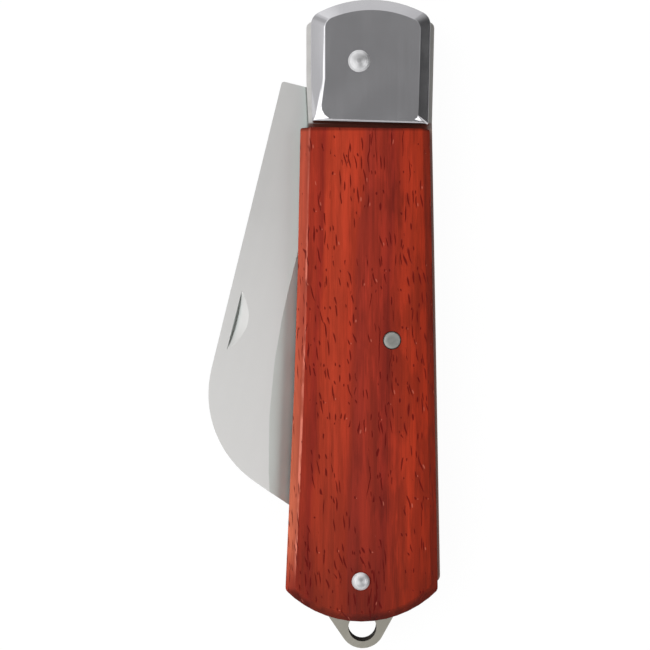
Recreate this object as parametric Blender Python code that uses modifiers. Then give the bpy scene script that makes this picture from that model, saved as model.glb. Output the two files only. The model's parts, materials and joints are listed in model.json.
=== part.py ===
# A folding electrician's knife, closed and lying on its rear face.
# The handle is a sandwich. Two steel liners stand on either side of the blade's
# tang and the backspring, and outside each liner sit a steel bolster at the head
# and a wooden scale. Three cross pins and four short studs hold it together.
# Units are metres. +Z is up, +Y runs from the butt to the head, and the blade's
# spine shows on the -X side. The origin is under the middle of the closed knife.

import math

import bmesh
import bpy

# Handle. Every outline is drawn about the pivot: x is positive towards the
# handle's back, y towards its head, and z is measured from the middle plane.
handle_length = 0.115
handle_thickness = 0.0144
head_width = 0.0238
pivot_to_crown = 0.0115
pivot_to_back = 0.0141
neck_draw_in = 0.0004
butt_flare = 0.0013
butt_radius = 0.0199

# Layers of the sandwich. Pieces that are clamped face to face keep a seat gap.
spring_thickness = 0.0032
liner_thickness = 0.0009
seat_gap = 0.00005
blade_side_gap = 0.00015

# Bolsters.
bolster_length = 0.0226
bolster_width = 0.022
bolster_foot_width = 0.0214
bolster_back_step = 0.0009
bolster_foot_slant = 0.00055
bolster_crown_radius = 0.021
bolster_corner_radius = 0.0024
bolster_slot_bevel = 0.0026
bolster_back_bevel = 0.00205
bolster_crown_bevel = 0.0022
bolster_bevel_depth = 0.0017
bolster_foot_bevel = 0.0003
bolster_foot_corner_radius = 0.0003
face_corner_radius = 0.0019
face_slot_foot_inset = 0.0014
face_slot_foot_radius = 0.0024
face_back_foot_radius = 0.0012
parallel_head_share = 0.65

# A flatter facet lies between a bolster's face and its bevels. Each pair is how
# far it reaches across the bevel and how far down the bevel's depth.
facet_crown_shares = (0.06, 0.033)
facet_back_shares = (0.1, 0.055)
facet_back_corner_shares = (0.8, 0.4)
facet_foot_shares = (0.9, 0.12)
facet_slot_corner_shares = (0.97, 0.5)
facet_slot_foot_shares = (0.6, 0.26)
facet_slot_middle_shares = (0.2, 0.11)
facet_slot_shares = (0.08, 0.044)

# Wooden scales.
bolster_to_wood = 0.0009
wood_top_slant = 0.00025
wood_top_width = 0.0238
wood_butt_width = 0.02834
wood_back_step = 0.00066
wood_slot_hollow = 0.00042
wood_slot_chamfer = 0.00185
wood_back_chamfer = 0.0014
wood_butt_chamfer = 0.0018
wood_chamfer_depth = 0.0016
wood_top_corner_radius = 0.0004
wood_butt_corner_radius = 0.0012

# Liners.
liner_crown_inset = 0.0004
liner_corner_radius = 0.0012
liner_butt_inset = 0.0006
liner_slot_inset = 0.0017
liner_butt_corner_radius = 0.0014

# Blade. Its own axes run from the pivot to the tip and across to the spine.
closed_tilt_deg = 13.9
spine_offset = 0.01315
edge_offset = 0.00465
tip_drop = 0.01135
tip_to_butt_block = 0.0022
belly_radius = 0.020
belly_turn_deg = 69.0
bevel_width = 0.0073
edge_thickness = 0.0003
edge_bend_share = 0.52
plunge_start = 0.0135
plunge_length = 0.0035
choil_reach = 0.0105
choil_depth = 0.0038
choil_radius = 0.001
spine_corner_radius = 0.0005

# Nail nick, milled into the front face with a tilted cutter.
nick_length = 0.0114
nick_depth = 0.0008
nick_angle_deg = 19.0
nick_from_spine = 0.002
nick_place_share = 0.61

# Tang. Its two flats rest on the spring when the blade is closed or open.
tang_radius = 0.0065
cam_gap = 0.00005
spring_rest_gap = 0.0003
shoulder_reach = 0.0062
kick_reach = 0.0085
tang_corner_radius = 0.0004

# Backspring, with the lanyard eye at its butt.
nose_corner_radius = 0.001
nose_below_kick = 0.0007
nose_ramp_share = 1.8
arm_width = 0.0043
root_width = 0.0074
lobe_wall = 0.002
lobe_blend = 0.0055
spring_blend_radius = 0.003
butt_block_height = 0.0163
eye_diameter = 0.0053
eye_wall = 0.0016
eye_to_butt = 0.001725
eye_offset = 0.00083
eye_hole_drop = 0.0003
eye_slot_flank_deg = 32.5
eye_back_flank_deg = 24.2

# Pins and studs.
pivot_pin_diameter = 0.0035
pivot_head_diameter = 0.004
pivot_head_height = 0.0008
butt_pin_diameter = 0.003
butt_head_diameter = 0.0033
butt_head_height = 0.0007
butt_pin_above_butt = 0.0079
butt_pin_offset = 0.00036
spring_pin_diameter = 0.0033
spring_pin_share = 0.5443
spring_pin_from_back = 0.0084
pin_edge_break = 0.0002
head_skirt = 0.00015
pin_gap = 0.00005
stud_diameter = 0.0022
stud_depth = 0.002
stud_from_foot = 0.0042
stud_from_side = 0.0047

# Making.
overrun = 0.001
weld_distance = 0.000001
hole_sides = 32
pin_sides = 32
nick_sides = 160
arc_steps = 4
long_arc_steps = 14
blade_steps = 16
dome_steps = 5
sharp_angle_deg = 30.0

# Sizes that follow from those above.
half_spring = spring_thickness / 2
half_blade = half_spring - blade_side_gap
liner_inner_z = half_spring + seat_gap
liner_outer_z = liner_inner_z + liner_thickness
cover_inner_z = liner_outer_z + seat_gap
cover_outer_z = handle_thickness / 2
crown_y = pivot_to_crown
butt_y = crown_y - handle_length
slot_x = pivot_to_back - head_width
foot_mid_y = crown_y - bolster_length
slot_foot_y = foot_mid_y + bolster_foot_slant / 2
back_foot_y = foot_mid_y - bolster_foot_slant / 2
wood_top_y = back_foot_y - bolster_to_wood
parallel_end_y = crown_y - bolster_length * parallel_head_share
back_neck_x = pivot_to_back - neck_draw_in
slot_neck_x = slot_x + neck_draw_in
back_butt_x = pivot_to_back + butt_flare
wood_back_butt_x = back_butt_x - wood_back_step
wood_slot_butt_x = wood_back_butt_x - wood_butt_width
butt_centre_x = (wood_back_butt_x + wood_slot_butt_x) / 2
butt_centre_y = butt_y + butt_radius
liner_slot_butt_x = wood_slot_butt_x + liner_slot_inset
liner_butt_radius = butt_radius - liner_butt_inset
back_corner_y = butt_centre_y - math.sqrt(
    liner_butt_radius**2 - (back_butt_x - butt_centre_x) ** 2
)
slot_corner_y = butt_centre_y - math.sqrt(
    liner_butt_radius**2 - (liner_slot_butt_x - butt_centre_x) ** 2
)
block_top_y = butt_y + butt_block_height
spring_pin_y = crown_y - handle_length * spring_pin_share
back_line_slope = (back_butt_x - back_neck_x) / (back_corner_y - slot_foot_y)
slot_line_slope = (liner_slot_butt_x - slot_neck_x) / (slot_corner_y - slot_foot_y)
spring_back_x = back_neck_x + back_line_slope * (spring_pin_y - slot_foot_y)
spring_pin_x = spring_back_x - spring_pin_from_back
butt_pin_y = butt_y + butt_pin_above_butt
nose_x = tang_radius + cam_gap
flat_reach = nose_x - spring_rest_gap
nose_top_y = shoulder_reach - spring_rest_gap
eye_radius = eye_diameter / 2
eye_outer_radius = eye_radius + eye_wall
eye_y = butt_y - eye_to_butt

closed_tilt = math.radians(closed_tilt_deg)
belly_turn = math.radians(belly_turn_deg)
nick_angle = math.radians(nick_angle_deg)
eye_slot_flank = math.radians(eye_slot_flank_deg)
eye_back_flank = math.radians(eye_back_flank_deg)
sharp_angle = math.radians(sharp_angle_deg)

# The tip stops short of the butt block when the blade is closed.
tip_y = block_top_y + tip_to_butt_block
tip_reach = (-tip_y - tip_drop * math.sin(closed_tilt)) / math.cos(closed_tilt)
belly_end_offset = spine_offset - belly_radius * (1 - math.cos(belly_turn))
belly_end_reach = tip_reach - (belly_end_offset + tip_drop) / math.tan(belly_turn)
belly_start_reach = belly_end_reach - belly_radius * math.sin(belly_turn)
bend_reach = tip_reach * edge_bend_share
bend_drop = tip_drop - edge_offset
bend_radius = ((tip_reach - bend_reach) ** 2 + bend_drop**2) / (2 * bend_drop)

# The origin lies under the middle of the closed knife's box.
belly_left_x = (
    -belly_start_reach * math.sin(closed_tilt)
    - (spine_offset - belly_radius) * math.cos(closed_tilt)
    - belly_radius
)
lowest_z = cover_outer_z + seat_gap + head_skirt + pivot_head_height
pivot_place = (
    -(belly_left_x + back_butt_x) / 2,
    -(crown_y + eye_y - eye_outer_radius) / 2,
    lowest_z,
)


def clear_scene():
    for old in list(bpy.data.objects):
        bpy.data.objects.remove(old)


def new_collection(name):
    made = bpy.data.collections.new(name)
    bpy.context.scene.collection.children.link(made)
    return made


def new_empty(name, place, turn=0.0, parent=None):
    made = bpy.data.objects.new(name, None)
    made.location = place
    made.rotation_euler.z = turn
    made.parent = parent
    parts.objects.link(made)
    return made


def new_material(name, colour, roughness, metallic):
    made = bpy.data.materials.new(name)
    made.use_nodes = True
    shader = made.node_tree.nodes["Principled BSDF"]
    shader.inputs["Base Color"].default_value = (*colour, 1.0)
    shader.inputs["Roughness"].default_value = roughness
    shader.inputs["Metallic"].default_value = metallic
    return made


def new_piece(name, mesh, parent, colour, roughness, metallic):
    mesh.shade_smooth()
    mesh.set_sharp_from_angle(angle=sharp_angle)
    mesh.materials.clear()
    mesh.materials.append(new_material(name, colour, roughness, metallic))
    made = bpy.data.objects.new(name, mesh)
    made.parent = parent
    parts.objects.link(made)
    return made


def new_cutter(name, mesh, parent):
    made = bpy.data.objects.new(name, mesh)
    made.parent = parent
    made.hide_render = True
    made.display_type = "WIRE"
    cutters.objects.link(made)
    return made


def cut(piece, cutter):
    step = piece.modifiers.new(cutter.name, "BOOLEAN")
    step.operation = "DIFFERENCE"
    step.solver = "EXACT"
    step.object = cutter


def rounded(corners):
    """Turn (x, y, radius) corners into an outline, with an arc at each radius."""
    outline = []
    for index, (x, y, radius) in enumerate(corners):
        if radius == 0:
            outline.append((x, y))
            continue
        before = corners[index - 1]
        after = corners[(index + 1) % len(corners)]
        to_before = math.atan2(before[1] - y, before[0] - x)
        to_after = math.atan2(after[1] - y, after[0] - x)
        opening = (to_after - to_before + math.pi) % math.tau - math.pi
        middle = to_before + opening / 2
        reach = radius / abs(math.sin(opening / 2))
        centre_x = x + reach * math.cos(middle)
        centre_y = y + reach * math.sin(middle)
        sweep = math.pi - abs(opening)
        turn = -math.copysign(sweep, opening)
        start = middle + math.pi - turn / 2
        for step in range(arc_steps + 1):
            angle = start + turn * step / arc_steps
            outline.append(
                (centre_x + radius * math.cos(angle), centre_y + radius * math.sin(angle))
            )
    return outline


def arc_height(x, centre_x, radius):
    """Half chord of a circle at x, measured along y from its centre."""
    return math.sqrt(radius**2 - (x - centre_x) ** 2)


def arc_between(start_x, end_x, centre_x, centre_y, radius, side):
    """Corners without radius along a circle's upper (side 1) or lower (side -1) part."""
    start = math.acos((start_x - centre_x) / radius)
    end = math.acos((end_x - centre_x) / radius)
    corners = []
    for step in range(1, long_arc_steps):
        angle = start + (end - start) * step / long_arc_steps
        x = centre_x + radius * math.cos(angle)
        corners.append((x, centre_y + side * radius * math.sin(angle), 0))
    return corners


def butt_arc(start_x, end_x, radius):
    """Corners without radius along the handle's rounded butt."""
    return arc_between(start_x, end_x, butt_centre_x, butt_centre_y, radius, -1)


def hollow_side(start, end, rise):
    """Corners without radius along a shallow curve that bows by rise at its middle."""
    corners = []
    for step in range(1, blade_steps):
        share = step / blade_steps
        x = start[0] + (end[0] - start[0]) * share + 4 * rise * share * (1 - share)
        corners.append((x, start[1] + (end[1] - start[1]) * share, 0))
    return corners


def plate_mesh(name, outline, low, high):
    """A flat plate with this outline, from height low to height high."""
    curve = bpy.data.curves.new(name, "CURVE")
    curve.dimensions = "2D"
    curve.fill_mode = "BOTH"
    curve.extrude = (high - low) / 2
    spline = curve.splines.new("POLY")
    spline.points.add(len(outline) - 1)
    for point, (x, y) in zip(spline.points, outline):
        point.co = (x, y, 0, 1)
    spline.use_cyclic_u = True
    guide = bpy.data.objects.new(name, curve)
    bpy.context.scene.collection.objects.link(guide)
    graph = bpy.context.evaluated_depsgraph_get()
    mesh = bpy.data.meshes.new_from_object(guide.evaluated_get(graph))
    bpy.data.objects.remove(guide)
    form = bmesh.new()
    form.from_mesh(mesh)
    bmesh.ops.remove_doubles(form, verts=form.verts, dist=weld_distance)
    bmesh.ops.translate(form, verts=form.verts, vec=(0, 0, (low + high) / 2))
    bmesh.ops.recalc_face_normals(form, faces=form.faces)
    form.to_mesh(mesh)
    form.free()
    return mesh


def loft_mesh(name, sections):
    """A closed skin over rings of equally many points, with a flat end at each end."""
    form = bmesh.new()
    rings = [[form.verts.new(point) for point in section] for section in sections]
    for lower, upper in zip(rings, rings[1:]):
        for index in range(len(lower)):
            following = (index + 1) % len(lower)
            corners = (lower[index], lower[following], upper[following], upper[index])
            form.faces.new(corners)
    form.faces.new(rings[0])
    form.faces.new(rings[-1])
    bmesh.ops.recalc_face_normals(form, faces=form.faces)
    mesh = bpy.data.meshes.new(name)
    form.to_mesh(mesh)
    form.free()
    return mesh


def at_height(outline, z):
    return [(x, y, z) for x, y in outline]


def drill(piece, name, x, y, diameter, low, high):
    """Bore a round hole along z through a piece, between two heights."""
    form = bmesh.new()
    bmesh.ops.create_cone(
        form,
        cap_ends=True,
        segments=hole_sides,
        radius1=diameter / 2,
        radius2=diameter / 2,
        depth=high - low,
    )
    bmesh.ops.translate(form, verts=form.verts, vec=(x, y, (low + high) / 2))
    mesh = bpy.data.meshes.new(name)
    form.to_mesh(mesh)
    form.free()
    cut(piece, new_cutter(name, mesh, piece.parent))


def drill_through(piece, hole, x, y, diameter):
    name = f"{piece.name}_{hole}_bore"
    drill(piece, name, x, y, diameter, -handle_thickness, handle_thickness)


def drill_for_pivot(piece):
    drill_through(piece, "pivot", 0, 0, pivot_pin_diameter + 2 * pin_gap)


def drill_for_spring_and_butt_pins(piece):
    spring_bore = spring_pin_diameter + 2 * pin_gap
    butt_bore = butt_pin_diameter + 2 * pin_gap
    drill_through(piece, "spring_pin", spring_pin_x, spring_pin_y, spring_bore)
    drill_through(piece, "butt_pin", butt_pin_offset, butt_pin_y, butt_bore)


def stud_places():
    """The two studs of each bolster, low down and near its sides."""
    y = foot_mid_y + stud_from_foot
    back_side_x = back_neck_x - bolster_back_step - stud_from_side
    slot_side_x = back_neck_x - bolster_back_step - bolster_foot_width + stud_from_side
    return {"slot": (slot_side_x, y), "back": (back_side_x, y)}


def drill_for_studs(piece, low, high):
    bore = stud_diameter + 2 * pin_gap
    for place, (x, y) in stud_places().items():
        drill(piece, f"{piece.name}_{place}_stud_bore", x, y, bore, low, high)


def turned_mesh(name, profile):
    """Vertices and edges of a profile in the xz plane, for a Screw modifier."""
    mesh = bpy.data.meshes.new(name)
    points = [(radius, 0, z) for radius, z in profile]
    edges = [(index, index + 1) for index in range(len(points) - 1)]
    mesh.from_pydata(points, edges, [])
    return mesh


def turn_on_axis(piece):
    step = piece.modifiers.new("turned", "SCREW")
    step.axis = "Z"
    step.angle = math.tau
    step.steps = pin_sides
    step.render_steps = pin_sides
    step.use_merge_vertices = True
    step.merge_threshold = weld_distance
    step.use_smooth_shade = True


def blade_point(reach, offset, radius):
    """A corner of the blade: reach from pivot to tip, offset towards the spine."""
    return (-offset, -reach, radius)


def edge_offset_at(reach):
    """The cutting edge's offset: straight, then an arc that drops to the tip."""
    past = max(0, reach - bend_reach)
    return -edge_offset - bend_radius + math.sqrt(bend_radius**2 - past**2)


def blade_outline():
    corners = [blade_point(shoulder_reach, spine_offset, spine_corner_radius)]
    for step in range(blade_steps + 1):
        angle = belly_turn * step / blade_steps
        reach = belly_start_reach + belly_radius * math.sin(angle)
        offset = spine_offset - belly_radius * (1 - math.cos(angle))
        corners.append(blade_point(reach, offset, 0))
    for step in range(blade_steps):
        reach = tip_reach + (bend_reach - tip_reach) * step / blade_steps
        corners.append(blade_point(reach, edge_offset_at(reach), 0))
    corners.append(blade_point(bend_reach, -edge_offset, 0))
    corners.append(blade_point(plunge_start, -edge_offset, choil_radius))
    corners.append(blade_point(choil_reach, -choil_depth, choil_radius))
    # The closed flat faces the handle's back, so it is drawn at the closed tilt.
    corners.append((*tilted(flat_reach, -kick_reach), tang_corner_radius))
    flat_angle = math.acos(flat_reach / tang_radius)
    start = closed_tilt + flat_angle
    end = math.pi - flat_angle
    for step in range(blade_steps + 1):
        angle = start + (end - start) * step / blade_steps
        corners.append((tang_radius * math.cos(angle), tang_radius * math.sin(angle), 0))
    corners.append(blade_point(shoulder_reach, flat_reach, tang_corner_radius))
    return rounded(corners)


def tilted(x, y):
    """A point of the handle, in the axes of the closed blade."""
    cosine = math.cos(closed_tilt)
    sine = math.sin(closed_tilt)
    return (x * cosine - y * sine, x * sine + y * cosine)


def bevel_cutter(name, side):
    """The steel ground away beside the edge, on one face of the blade."""
    edge_z = edge_thickness / 2
    slope = (half_blade - edge_z) / bevel_width
    sections = []
    end_reach = tip_reach + overrun
    stations = [plunge_start, plunge_start + plunge_length]
    for step in range(blade_steps + 1):
        stations.append(bend_reach + (end_reach - bend_reach) * step / blade_steps)
    for station in stations:
        lift = half_blade if station == plunge_start else 0
        offset = edge_offset_at(station)
        outer = offset - overrun
        inner = offset + bevel_width + overrun
        top = half_blade * 2 + overrun
        heights = (
            (outer, edge_z - slope * overrun + lift),
            (inner, half_blade + slope * overrun + lift),
            (inner, top + lift),
            (outer, top + lift),
        )
        sections.append([(-across, -station, side * z) for across, z in heights])
    return new_cutter(name, loft_mesh(name, sections), blade_pivot)


def nick_cutter():
    """A wide disc, tilted so that its face leaves the nick's straight wall."""
    fall = nick_depth / math.cos(nick_angle)
    radius = ((nick_length / 2) ** 2 + fall**2) / (2 * fall)
    thickness = nick_length
    form = bmesh.new()
    bmesh.ops.create_cone(
        form,
        cap_ends=True,
        segments=nick_sides,
        radius1=radius,
        radius2=radius,
        depth=thickness,
    )
    mesh = bpy.data.meshes.new("nick_cutter")
    form.to_mesh(mesh)
    form.free()
    made = new_cutter("nick_cutter", mesh, blade_pivot)
    # The disc's axis rises from the blade's face on its way towards the edge.
    rise = radius - fall
    along = thickness / 2
    made.rotation_euler.y = math.pi / 2 - nick_angle
    made.location = (
        -spine_offset
        + nick_from_spine
        + along * math.cos(nick_angle)
        - rise * math.sin(nick_angle),
        -tip_reach * nick_place_share,
        half_blade + along * math.sin(nick_angle) + rise * math.cos(nick_angle),
    )
    return made


def make_blade():
    mesh = plate_mesh("blade", blade_outline(), -half_blade, half_blade)
    blade = new_piece("blade", mesh, blade_pivot, (0.62, 0.62, 0.61), 0.3, 1.0)
    cut(blade, bevel_cutter("front_bevel_cutter", 1))
    cut(blade, bevel_cutter("rear_bevel_cutter", -1))
    cut(blade, nick_cutter())
    drill_for_pivot(blade)


def spring_outline():
    lobe_half = spring_pin_diameter / 2 + lobe_wall
    lobe_x = spring_pin_x - lobe_half
    arm_x = back_neck_x - arm_width
    root_x = spring_back_x - root_width
    block_slot_x = slot_neck_x + slot_line_slope * (block_top_y - slot_foot_y)
    nose_foot_y = -kick_reach - nose_below_kick
    ramp_foot_y = nose_foot_y - nose_ramp_share * (arm_x - nose_x)
    corners = [
        (nose_x, nose_top_y, tang_corner_radius),
        (pivot_to_back, nose_top_y, nose_corner_radius),
        (back_neck_x, slot_foot_y, 0),
    ]
    # Below, the butt follows the liners' rounded end down to the eye's flanks.
    corners.append((back_butt_x, back_corner_y, liner_butt_corner_radius))
    back_flank_x = flank_on_butt(1, eye_back_flank)
    slot_flank_x = flank_on_butt(-1, eye_slot_flank)
    corners += butt_arc(back_butt_x, back_flank_x, liner_butt_radius)
    start = -eye_back_flank
    end = -math.pi + eye_slot_flank
    for step in range(long_arc_steps + 1):
        angle = start + (end - start) * step / long_arc_steps
        x = eye_offset + eye_outer_radius * math.cos(angle)
        corners.append((x, eye_y + eye_outer_radius * math.sin(angle), 0))
    corners += butt_arc(slot_flank_x, liner_slot_butt_x, liner_butt_radius)
    corners += [
        (liner_slot_butt_x, slot_corner_y, liner_butt_corner_radius),
        (block_slot_x, block_top_y, nose_corner_radius),
        (root_x, block_top_y, spring_blend_radius),
        (root_x, spring_pin_y - lobe_half - lobe_blend, spring_blend_radius),
        (lobe_x, spring_pin_y - lobe_half, spring_blend_radius),
        (lobe_x, spring_pin_y + lobe_half, spring_blend_radius),
        (arm_x, spring_pin_y + lobe_half + lobe_blend, spring_blend_radius),
        (arm_x, ramp_foot_y, spring_blend_radius),
        (nose_x, nose_foot_y, nose_corner_radius),
    ]
    return rounded(corners)


def flank_on_butt(side, flank):
    """Where a flank of the eye crosses the liners' rounded butt."""
    x = eye_offset + side * eye_outer_radius * math.cos(flank)
    y = eye_y - eye_outer_radius * math.sin(flank)
    lean_x = side * math.sin(flank)
    lean_y = math.cos(flank)
    gap_x = x - butt_centre_x
    gap_y = y - butt_centre_y
    along = gap_x * lean_x + gap_y * lean_y
    apart = gap_x**2 + gap_y**2 - liner_butt_radius**2
    travel = -along - math.sqrt(along**2 - apart)
    return x + travel * lean_x


def make_backspring():
    mesh = plate_mesh("backspring", spring_outline(), -half_spring, half_spring)
    spring = new_piece("backspring", mesh, handle, (0.5, 0.49, 0.46), 0.35, 1.0)
    drill_for_spring_and_butt_pins(spring)
    drill_through(spring, "eye", eye_offset, eye_y - eye_hole_drop, eye_diameter)


def liner_outline():
    crown_centre_y = crown_y - liner_crown_inset - bolster_crown_radius
    middle_x = pivot_to_back - head_width / 2
    corner_y = crown_centre_y + arc_height(slot_x, middle_x, bolster_crown_radius)
    corners = [(pivot_to_back, corner_y, liner_corner_radius)]
    corners += arc_between(
        pivot_to_back, slot_x, middle_x, crown_centre_y, bolster_crown_radius, 1
    )
    corners += [
        (slot_x, corner_y, liner_corner_radius),
        (slot_x, parallel_end_y, 0),
        (slot_neck_x, slot_foot_y, 0),
        (liner_slot_butt_x, slot_corner_y, liner_butt_corner_radius),
    ]
    corners += butt_arc(liner_slot_butt_x, back_butt_x, liner_butt_radius)
    corners += [
        (back_butt_x, back_corner_y, liner_butt_corner_radius),
        (back_neck_x, slot_foot_y, 0),
    ]
    return rounded(corners)


def make_liner(name, side):
    inner = side * liner_inner_z
    outer = side * liner_outer_z
    low = min(inner, outer)
    high = max(inner, outer)
    mesh = plate_mesh(name, liner_outline(), low, high)
    liner = new_piece(name, mesh, handle, (0.42, 0.4, 0.37), 0.42, 1.0)
    drill_for_pivot(liner)
    drill_for_spring_and_butt_pins(liner)
    drill_for_studs(liner, low - overrun, high + overrun)


def bolster_outline(insets, slot_radius, back_radius, crown_corner_radius):
    """The bolster's outline, drawn in on each side for its flat face."""
    slot_inset, back_inset, crown_inset, slot_foot_inset, foot_inset = insets
    head_back_x = pivot_to_back - bolster_back_step
    foot_back_x = back_neck_x - bolster_back_step
    head_slot_x = head_back_x - bolster_width
    foot_slot_x = foot_back_x - bolster_foot_width
    middle_x = (head_back_x + head_slot_x) / 2
    back_x = head_back_x - back_inset
    slot_side_x = head_slot_x + slot_inset
    radius = bolster_crown_radius - crown_inset
    centre_y = crown_y - bolster_crown_radius
    back_corner = centre_y + arc_height(back_x, middle_x, radius)
    slot_corner = centre_y + arc_height(slot_side_x, middle_x, radius)
    corners = [
        (foot_slot_x + slot_foot_inset, slot_foot_y + foot_inset, slot_radius),
        (foot_back_x - back_inset, back_foot_y + foot_inset, back_radius),
        (back_x, back_corner, crown_corner_radius),
    ]
    corners += arc_between(back_x, slot_side_x, middle_x, centre_y, radius, 1)
    corners += [
        (slot_side_x, slot_corner, crown_corner_radius),
        (slot_side_x, parallel_end_y, 0),
    ]
    return rounded(corners)


def spread(stops, count):
    """Evenly spaced pairs of shares, on straight lines from stop to stop."""
    pairs = []
    for step in range(count):
        place = (len(stops) - 1) * step / (count - 1)
        index = min(int(place), len(stops) - 2)
        part = place - index
        low = stops[index]
        high = stops[index + 1]
        across = low[0] + (high[0] - low[0]) * part
        down = low[1] + (high[1] - low[1]) * part
        pairs.append((across, down))
    return pairs


def facet_edge(outer, face, side):
    """The outer edge of the facet round a bolster's face, point by point."""
    arc_points = arc_steps + 1
    slot_corner = [facet_slot_foot_shares, facet_slot_corner_shares, facet_foot_shares]
    back_corner = [facet_foot_shares, facet_back_corner_shares, facet_back_shares]
    shares = spread(slot_corner, arc_points)
    shares += spread(back_corner, arc_points)
    shares += spread([facet_back_shares, facet_crown_shares], arc_points)
    shares += spread([facet_crown_shares, facet_crown_shares], long_arc_steps - 1)
    shares += spread([facet_crown_shares, facet_slot_shares], arc_points)
    shares.append(facet_slot_middle_shares)
    edge = []
    for inner_point, outer_point, (across, down) in zip(face, outer, shares):
        x = inner_point[0] + across * (outer_point[0] - inner_point[0])
        y = inner_point[1] + across * (outer_point[1] - inner_point[1])
        edge.append((x, y, side * (cover_outer_z - down * bolster_bevel_depth)))
    return edge


def make_bolster(name, side):
    sharp = bolster_foot_corner_radius
    bevels = (
        bolster_slot_bevel,
        bolster_back_bevel,
        bolster_crown_bevel,
        face_slot_foot_inset,
        bolster_foot_bevel,
    )
    outer = bolster_outline((0, 0, 0, 0, 0), sharp, sharp, bolster_corner_radius)
    face = bolster_outline(
        bevels, face_slot_foot_radius, face_back_foot_radius, face_corner_radius
    )
    sections = [
        at_height(outer, side * cover_inner_z),
        at_height(outer, side * (cover_outer_z - bolster_bevel_depth)),
        facet_edge(outer, face, side),
        at_height(face, side * cover_outer_z),
    ]
    mesh = loft_mesh(name, sections)
    bolster = new_piece(name, mesh, handle, (0.55, 0.55, 0.56), 0.25, 1.0)
    drill_for_pivot(bolster)
    floor_z = side * (cover_inner_z + stud_depth + seat_gap)
    mouth_z = side * (cover_inner_z - overrun)
    drill_for_studs(bolster, min(floor_z, mouth_z), max(floor_z, mouth_z))


def scale_outline(slot_inset, back_inset, butt_inset):
    """The wooden scale's outline, drawn in on each side but its top."""
    radius = butt_radius - butt_inset
    slot_butt_x = wood_slot_butt_x + slot_inset
    back_butt = wood_back_butt_x - back_inset
    back_top_x = back_neck_x - wood_back_step
    slot_top_x = back_top_x - wood_top_width + slot_inset
    slot_butt_y = butt_centre_y - arc_height(slot_butt_x, butt_centre_x, radius)
    back_butt_y = butt_centre_y - arc_height(back_butt, butt_centre_x, radius)
    slot_top = (slot_top_x, wood_top_y + wood_top_slant, wood_top_corner_radius)
    slot_butt = (slot_butt_x, slot_butt_y, wood_butt_corner_radius)
    corners = [slot_top]
    corners += hollow_side(slot_top, slot_butt, wood_slot_hollow)
    corners.append(slot_butt)
    corners += butt_arc(slot_butt_x, back_butt, radius)
    corners += [
        (back_butt, back_butt_y, wood_butt_corner_radius),
        (back_top_x - back_inset, wood_top_y, wood_top_corner_radius),
    ]
    return rounded(corners)


def make_scale(name, side):
    outer = scale_outline(0, 0, 0)
    face = scale_outline(wood_slot_chamfer, wood_back_chamfer, wood_butt_chamfer)
    sections = [
        at_height(outer, side * cover_inner_z),
        at_height(outer, side * (cover_outer_z - wood_chamfer_depth)),
        at_height(face, side * cover_outer_z),
    ]
    mesh = loft_mesh(name, sections)
    scale = new_piece(name, mesh, handle, (0.5, 0.075, 0.025), 0.45, 0.0)
    drill_for_spring_and_butt_pins(scale)


def domed_profile(shank_diameter, head_diameter, head_height):
    """Half section of a pin with a domed head at both ends, from top to bottom."""
    head_radius = head_diameter / 2
    seat_z = cover_outer_z + seat_gap
    rim_z = seat_z + head_skirt
    ball_radius = (head_radius**2 + head_height**2) / (2 * head_height)
    ball_z = rim_z + head_height - ball_radius
    spread = math.asin(head_radius / ball_radius)
    upper = []
    for step in range(dome_steps + 1):
        angle = spread * step / dome_steps
        radius = ball_radius * math.sin(angle)
        upper.append((radius, ball_z + ball_radius * math.cos(angle)))
    upper.append((head_radius, seat_z))
    upper.append((shank_diameter / 2, seat_z))
    return upper + [(radius, -z) for radius, z in reversed(upper)]


def plain_profile(diameter, low, high):
    """Half section of a straight pin with broken edges, from top to bottom."""
    radius = diameter / 2
    rim = radius - pin_edge_break
    return [
        (0, high),
        (rim, high),
        (radius, high - pin_edge_break),
        (radius, low + pin_edge_break),
        (rim, low),
        (0, low),
    ]


def make_pin(name, profile, x, y):
    pin = new_piece(name, turned_mesh(name, profile), handle, (0.72, 0.72, 0.72), 0.22, 1.0)
    pin.location = (x, y, 0)
    turn_on_axis(pin)


def make_pins():
    pivot = domed_profile(pivot_pin_diameter, pivot_head_diameter, pivot_head_height)
    butt = domed_profile(butt_pin_diameter, butt_head_diameter, butt_head_height)
    flush = plain_profile(spring_pin_diameter, -cover_outer_z, cover_outer_z)
    make_pin("pivot_pin", pivot, 0, 0)
    make_pin("spring_pin", flush, spring_pin_x, spring_pin_y)
    make_pin("butt_pin", butt, butt_pin_offset, butt_pin_y)


def make_studs(face, side):
    """Short studs from each liner into blind holes in its bolster."""
    inner = side * (liner_inner_z + seat_gap)
    outer = side * (cover_inner_z + stud_depth)
    profile = plain_profile(stud_diameter, min(inner, outer), max(inner, outer))
    for place, (x, y) in stud_places().items():
        make_pin(f"{face}_{place}_stud", profile, x, y)


clear_scene()
parts = new_collection("folding_electrician_knife")
cutters = new_collection("cutters")
handle = new_empty("handle_frame", pivot_place)
blade_pivot = new_empty("blade_pivot", (0, 0, 0), -closed_tilt, handle)

make_blade()
make_backspring()
for face, side in (("front", 1), ("rear", -1)):
    make_liner(f"{face}_liner", side)
    make_bolster(f"{face}_bolster", side)
    make_scale(f"{face}_scale", side)
    make_studs(face, side)
make_pins()
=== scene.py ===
# %% [markdown]
# This lesson dresses a folding electrician's knife. The CAD model is the fixed frame: it gives every piece
# its place and size, in metres. Each step below gives one piece or one finish the look of the real thing.

# %% Load the frame
import json
import math

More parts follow.
